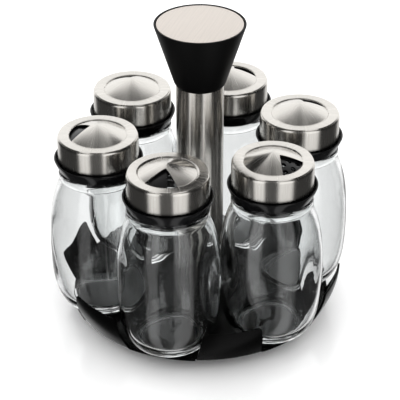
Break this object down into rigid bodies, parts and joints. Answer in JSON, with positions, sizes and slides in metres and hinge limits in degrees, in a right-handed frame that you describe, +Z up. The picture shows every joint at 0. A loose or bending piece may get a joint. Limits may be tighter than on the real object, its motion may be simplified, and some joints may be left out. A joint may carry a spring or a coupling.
{
  "type": "spice carousel",
  "caption": "Turning spice rack: a round tray on a ball bearing foot carries glass jars with screw caps and turning shaker tops around a steel column with a flared grip knob.",
  "frame": {"origin": "on the table, under the column's axis, at the underside of the rubber pads", "axes": "+Z up along the column; -Y through jar 1, and the other jars follow it every 60 degrees towards +X"},
  "size_m": [0.1662, 0.1766, 0.1821],
  "materials": {
    "jar_glass": "clear pressed glass, polished",
    "brushed_steel_caps": "stainless steel, finely brushed",
    "brushed_steel_column": "stainless steel, finely brushed",
    "cap_plastic": "black moulded plastic, semi-gloss",
    "knob_plastic": "black moulded plastic, satin",
    "tray_paint": "pressed steel with gloss black paint",
    "foot_plastic": "black moulded plastic",
    "black_rubber": "soft moulded rubber",
    "plated_hardware": "zinc-plated steel"
  },
  "bodies": {
    "foot": {"foot_base": "foot_plastic", "pivot_bush": "foot_plastic", "foot_pad_1": "black_rubber", "foot_pad_2": "black_rubber", "foot_pad_3": "black_rubber", "foot_pad_4": "black_rubber"},
    "bearing": {"ball_cage": "foot_plastic", "bearing_ball_1": "plated_hardware", "bearing_ball_2": "plated_hardware", "bearing_ball_3": "plated_hardware", "bearing_ball_4": "plated_hardware", "bearing_ball_5": "plated_hardware", "bearing_ball_6": "plated_hardware", "bearing_ball_7": "plated_hardware", "bearing_ball_8": "plated_hardware"},
    "carousel": {"turntable_plate": "plated_hardware", "tray": "tray_paint", "column_tube": "brushed_steel_column", "lower_plug": "foot_plastic", "upper_plug": "foot_plastic", "tie_rod": "plated_hardware", "thrust_washer": "plated_hardware", "lock_nut": "plated_hardware", "knob": "knob_plastic", "knob_disc": "brushed_steel_column", "knob_nut": "plated_hardware"},
    "jar_1": {"glass_jar_1": "jar_glass"},
    "cap_thread_1": {"cap_seal_1": "black_rubber"},
    "cap_1": {"cap_collar_1": "cap_plastic", "sifter_1": "cap_plastic"},
    "shaker_1": {"shaker_top_1": "brushed_steel_caps"},
    "jar_2": {"glass_jar_2": "jar_glass"},
    "cap_thread_2": {"cap_seal_2": "black_rubber"},
    "cap_2": {"cap_collar_2": "cap_plastic", "sifter_2": "cap_plastic"},
    "shaker_2": {"shaker_top_2": "brushed_steel_caps"},
    "jar_3": {"glass_jar_3": "jar_glass"},
    "cap_thread_3": {"cap_seal_3": "black_rubber"},
    "cap_3": {"cap_collar_3": "cap_plastic", "sifter_3": "cap_plastic"},
    "shaker_3": {"shaker_top_3": "brushed_steel_caps"},
    "jar_4": {"glass_jar_4": "jar_glass"},
    "cap_thread_4": {"cap_seal_4": "black_rubber"},
    "cap_4": {"cap_collar_4": "cap_plastic", "sifter_4": "cap_plastic"},
    "shaker_4": {"shaker_top_4": "brushed_steel_caps"},
    "jar_5": {"glass_jar_5": "jar_glass"},
    "cap_thread_5": {"cap_seal_5": "black_rubber"},
    "cap_5": {"cap_collar_5": "cap_plastic", "sifter_5": "cap_plastic"},
    "shaker_5": {"shaker_top_5": "brushed_steel_caps"},
    "jar_6": {"glass_jar_6": "jar_glass"},
    "cap_thread_6": {"cap_seal_6": "black_rubber"},
    "cap_6": {"cap_collar_6": "cap_plastic", "sifter_6": "cap_plastic"},
    "shaker_6": {"shaker_top_6": "brushed_steel_caps"}
  },
  "joints": [
    {"name": "carousel_spin", "type": "hinge", "parent": "foot", "child": "carousel", "pos_m": [0, 0, 0.0047], "axis": [0, 0, 1], "continuous": true},
    {"name": "bearing_spin", "type": "hinge", "parent": "foot", "child": "bearing", "pos_m": [0, 0, 0.0047], "axis": [0, 0, 1], "continuous": true},
    {"name": "jar_1_lift", "type": "slide", "parent": "carousel", "child": "jar_1", "axis": [0, 0, 1], "range_m": [0, 0.18]},
    {"name": "cap_1_rise", "type": "slide", "parent": "jar_1", "child": "cap_thread_1", "axis": [0, 0, 1], "range_m": [0, 0.0038]},
    {"name": "cap_1_unscrew", "type": "hinge", "parent": "cap_thread_1", "child": "cap_1", "pos_m": [0, -0.059, 0.11], "axis": [0, 0, 1], "range_deg": [0, 450]},
    {"name": "shaker_1_turn", "type": "hinge", "parent": "cap_1", "child": "shaker_1", "pos_m": [0, -0.059, 0.118], "axis": [0, 0, 1], "continuous": true},
    {"name": "jar_2_lift", "type": "slide", "parent": "carousel", "child": "jar_2", "axis": [0, 0, 1], "range_m": [0, 0.18]},
    {"name": "cap_2_rise", "type": "slide", "parent": "jar_2", "child": "cap_thread_2", "axis": [0, 0, 1], "range_m": [0, 0.0038]},
    {"name": "cap_2_unscrew", "type": "hinge", "parent": "cap_thread_2", "child": "cap_2", "pos_m": [0.0511, -0.0295, 0.11], "axis": [0, 0, 1], "range_deg": [0, 450]},
    {"name": "shaker_2_turn", "type": "hinge", "parent": "cap_2", "child": "shaker_2", "pos_m": [0.0511, -0.0295, 0.118], "axis": [0, 0, 1], "continuous": true},
    {"name": "jar_3_lift", "type": "slide", "parent": "carousel", "child": "jar_3", "axis": [0, 0, 1], "range_m": [0, 0.18]},
    {"name": "cap_3_rise", "type": "slide", "parent": "jar_3", "child": "cap_thread_3", "axis": [0, 0, 1], "range_m": [0, 0.0038]},
    {"name": "cap_3_unscrew", "type": "hinge", "parent": "cap_thread_3", "child": "cap_3", "pos_m": [0.0511, 0.0295, 0.11], "axis": [0, 0, 1], "range_deg": [0, 450]},
    {"name": "shaker_3_turn", "type": "hinge", "parent": "cap_3", "child": "shaker_3", "pos_m": [0.0511, 0.0295, 0.118], "axis": [0, 0, 1], "continuous": true},
    {"name": "jar_4_lift", "type": "slide", "parent": "carousel", "child": "jar_4", "axis": [0, 0, 1], "range_m": [0, 0.18]},
    {"name": "cap_4_rise", "type": "slide", "parent": "jar_4", "child": "cap_thread_4", "axis": [0, 0, 1], "range_m": [0, 0.0038]},
    {"name": "cap_4_unscrew", "type": "hinge", "parent": "cap_thread_4", "child": "cap_4", "pos_m": [0, 0.059, 0.11], "axis": [0, 0, 1], "range_deg": [0, 450]},
    {"name": "shaker_4_turn", "type": "hinge", "parent": "cap_4", "child": "shaker_4", "pos_m": [0, 0.059, 0.118], "axis": [0, 0, 1], "continuous": true},
    {"name": "jar_5_lift", "type": "slide", "parent": "carousel", "child": "jar_5", "axis": [0, 0, 1], "range_m": [0, 0.18]},
    {"name": "cap_5_rise", "type": "slide", "parent": "jar_5", "child": "cap_thread_5", "axis": [0, 0, 1], "range_m": [0, 0.0038]},
    {"name": "cap_5_unscrew", "type": "hinge", "parent": "cap_thread_5", "child": "cap_5", "pos_m": [-0.0511, 0.0295, 0.11], "axis": [0, 0, 1], "range_deg": [0, 450]},
    {"name": "shaker_5_turn", "type": "hinge", "parent": "cap_5", "child": "shaker_5", "pos_m": [-0.0511, 0.0295, 0.118], "axis": [0, 0, 1], "continuous": true},
    {"name": "jar_6_lift", "type": "slide", "parent": "carousel", "child": "jar_6", "axis": [0, 0, 1], "range_m": [0, 0.18]},
    {"name": "cap_6_rise", "type": "slide", "parent": "jar_6", "child": "cap_thread_6", "axis": [0, 0, 1], "range_m": [0, 0.0038]},
    {"name": "cap_6_unscrew", "type": "hinge", "parent": "cap_thread_6", "child": "cap_6", "pos_m": [-0.0511, -0.0295, 0.11], "axis": [0, 0, 1], "range_deg": [0, 450]},
    {"name": "shaker_6_turn", "type": "hinge", "parent": "cap_6", "child": "shaker_6", "pos_m": [-0.0511, -0.0295, 0.118], "axis": [0, 0, 1], "continuous": true}
  ],
  "couplings": [
    {"joint": "bearing_spin", "follows": "carousel_spin", "ratio": 0.5},
    {"joint": "cap_1_rise", "follows": "cap_1_unscrew", "m_per_rad": 0.00047746},
    {"joint": "cap_2_rise", "follows": "cap_2_unscrew", "m_per_rad": 0.00047746},
    {"joint": "cap_3_rise", "follows": "cap_3_unscrew", "m_per_rad": 0.00047746},
    {"joint": "cap_4_rise", "follows": "cap_4_unscrew", "m_per_rad": 0.00047746},
    {"joint": "cap_5_rise", "follows": "cap_5_unscrew", "m_per_rad": 0.00047746},
    {"joint": "cap_6_rise", "follows": "cap_6_unscrew", "m_per_rad": 0.00047746}
  ]
}
